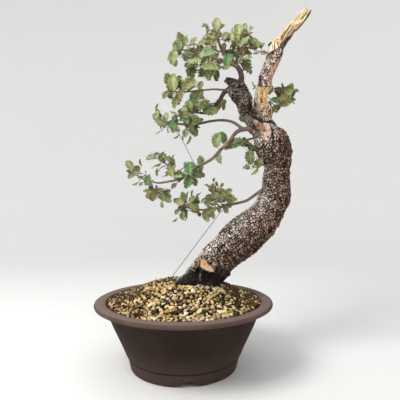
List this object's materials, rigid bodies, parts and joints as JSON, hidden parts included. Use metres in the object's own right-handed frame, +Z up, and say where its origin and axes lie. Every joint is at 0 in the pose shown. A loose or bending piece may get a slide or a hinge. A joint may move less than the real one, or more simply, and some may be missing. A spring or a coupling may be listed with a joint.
{
  "type": "holm oak bonsai",
  "caption": "Bonsai holm oak with a leaning barked trunk, bare deadwood spike, wired branches with spiny leaves, in a round unglazed clay pot filled with gravelly soil.",
  "frame": {"origin": "centre of the part's footprint box, on the plane that the pot stands on", "axes": "+Z up, +X to the right towards the side that the deadwood leans to, +Y away from the front"},
  "size_m": [0.2752, 0.22, 0.4616],
  "materials": {
    "clay": "unglazed purple-brown stoneware, matt, rim a little lighter",
    "net": "dark moulded plastic net",
    "wire": "dull grey drawn wire",
    "soil": "coarse tan, cream and brown grains",
    "bark": "grey-brown bark split into small plates",
    "bare_wood": "weathered golden deadwood with brown grain lines",
    "leaf": "leathery grey-green leaf, paler below",
    "fresh_leaf": "smooth fresh green leaf"
  },
  "bodies": {
    "root": {"pot": "clay", "drainage_mesh": "net", "mesh_clip": "wire", "anchor_wire": "wire", "soil": "soil", "trunk": "bark", "deadwood": "bare_wood", "guy_wire_lower": "wire", "guy_wire_upper": "wire", "spray_crown_left": "leaf", "spray_crown_front": "fresh_leaf", "spray_crown_top": "leaf", "spray_crown_right": "leaf", "spray_crown_right_low": "leaf", "spray_crown_back": "leaf", "spray_crown_low": "leaf", "spray_crown_under": "leaf", "spray_thin_branch": "leaf", "spray_upper_inner": "leaf", "spray_upper_near": "leaf", "spray_middle_left": "leaf", "spray_middle_inner": "fresh_leaf", "spray_low_left_tip": "leaf", "spray_low_left_under": "leaf", "spray_low_left_upper": "leaf", "spray_low_left_inner": "fresh_leaf", "spray_lowest_outer": "leaf", "spray_lowest_inner": "leaf", "spray_right_of_trunk": "leaf", "spray_fork": "leaf", "spray_inner_upper": "fresh_leaf", "spray_inner_lower": "fresh_leaf"}
  },
  "joints": []
}
